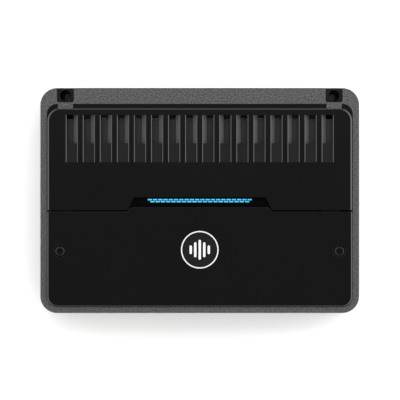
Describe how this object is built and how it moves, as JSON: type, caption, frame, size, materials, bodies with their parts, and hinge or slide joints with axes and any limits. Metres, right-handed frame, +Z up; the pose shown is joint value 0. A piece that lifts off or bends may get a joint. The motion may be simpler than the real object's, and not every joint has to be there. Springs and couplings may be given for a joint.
{
  "type": "car amplifier",
  "caption": "Flat car audio amplifier: a grey cast frame with rear mounting notches, a slotted black lid over a heat sink, a lit seam and a lift-off front cover over its controls.",
  "frame": {"origin": "middle of the base plate's underside", "axes": "+X across to the right, +Y to the finned rear face, +Z up through the lids"},
  "size_m": [0.255, 0.18, 0.052],
  "materials": {
    "powder_coat": "fine textured grey powder coat on a casting",
    "bare_aluminium": "turned bar",
    "black_coat": "satin black coat",
    "black_steel": "matt black coated steel",
    "black_anodised": "black anodised",
    "black_screw": "black oxide",
    "steel": "bright zinc",
    "circuit_board": "green solder mask",
    "semiconductor": "moulded epoxy",
    "thermal_pad": "soft silicone",
    "ferrite": "sintered ferrite",
    "copper": "enamelled copper wire",
    "capacitor_sleeve": "shrink sleeve",
    "deck_plastic": "fine textured moulding",
    "knob_plastic": "moulded",
    "lever_plastic": "moulded",
    "blue_plastic": "moulded",
    "led_lens": "clear tinted lens",
    "ribbon": "flat cable",
    "bezel_plastic": "black moulding",
    "light_guide": "clear light guide, lit cyan",
    "led_board": "white solder mask",
    "terminal_plastic": "glass-filled moulding",
    "gold": "gold plated",
    "white_plastic": "moulded",
    "nickel": "satin nickel plate",
    "badge_black": "satin disc",
    "badge_silver": "polished"
  },
  "bodies": {
    "frame": {"base_plate": "black_steel", "base_screws": "black_screw", "chassis": "powder_coat", "rear_fins": "powder_coat", "frame_posts": "bare_aluminium", "well_tubes": "bare_aluminium", "notch_sleeves": "terminal_plastic", "top_lid": "black_coat", "lid_screws": "black_screw", "heat_sink": "black_anodised", "heat_sink_screws": "black_screw", "power_transistors": "semiconductor", "thermal_pads": "thermal_pad", "transistor_clamps": "steel", "clamp_bar_screws": "steel", "main_pcb": "circuit_board", "pcb_standoffs": "gold", "pcb_screws": "steel", "toroid_core": "ferrite", "toroid_winding": "copper", "output_inductors": "ferrite", "rail_capacitors": "capacitor_sleeve", "filter_capacitors": "capacitor_sleeve", "control_deck": "deck_plastic", "deck_screws": "black_screw", "control_pcb": "circuit_board", "potentiometers": "blue_plastic", "switch_bodies": "steel", "status_leds": "led_lens", "ribbon_cable": "ribbon", "light_bezel": "bezel_plastic", "light_guide": "light_guide", "led_board": "led_board", "connector_panel": "terminal_plastic", "jack_bodies": "white_plastic", "jack_shells": "gold", "jack_insulators": "white_plastic", "jack_contacts": "gold", "remote_port": "terminal_plastic", "speaker_housing": "terminal_plastic", "speaker_terminals": "nickel", "speaker_clamp_screws": "steel", "power_housing": "terminal_plastic", "power_terminals": "nickel", "power_clamp_screws": "steel"},
    "front_cover": {"front_cover": "black_coat", "cover_screws": "black_screw", "badge_disc": "badge_black", "badge_trim": "badge_silver"},
    "level_knob": {"level_knob": "knob_plastic"},
    "crossover_knob": {"crossover_knob": "knob_plastic"},
    "bass_knob": {"bass_knob": "knob_plastic"},
    "subsonic_knob": {"subsonic_knob": "knob_plastic"},
    "filter_switch": {"filter_switch": "lever_plastic"},
    "phase_switch": {"phase_switch": "lever_plastic"},
    "input_switch": {"input_switch": "lever_plastic"}
  },
  "joints": [
    {"name": "cover_lift", "type": "slide", "parent": "frame", "child": "front_cover", "axis": [0, 0, 1], "range_m": [0, 0.06]},
    {"name": "level_knob_turn", "type": "hinge", "parent": "frame", "child": "level_knob", "pos_m": [-0.078, -0.036, 0.0403], "axis": [0, 0, 1], "range_deg": [-135, 135]},
    {"name": "crossover_knob_turn", "type": "hinge", "parent": "frame", "child": "crossover_knob", "pos_m": [-0.06, -0.036, 0.0403], "axis": [0, 0, 1], "range_deg": [-135, 135]},
    {"name": "bass_knob_turn", "type": "hinge", "parent": "frame", "child": "bass_knob", "pos_m": [-0.042, -0.036, 0.0403], "axis": [0, 0, 1], "range_deg": [-135, 135]},
    {"name": "subsonic_knob_turn", "type": "hinge", "parent": "frame", "child": "subsonic_knob", "pos_m": [-0.024, -0.036, 0.0403], "axis": [0, 0, 1], "range_deg": [-135, 135]},
    {"name": "filter_switch_slide", "type": "slide", "parent": "frame", "child": "filter_switch", "axis": [1, 0, 0], "range_m": [0, 0.004]},
    {"name": "phase_switch_slide", "type": "slide", "parent": "frame", "child": "phase_switch", "axis": [1, 0, 0], "range_m": [0, 0.004]},
    {"name": "input_switch_slide", "type": "slide", "parent": "frame", "child": "input_switch", "axis": [1, 0, 0], "range_m": [0, 0.004]}
  ]
}
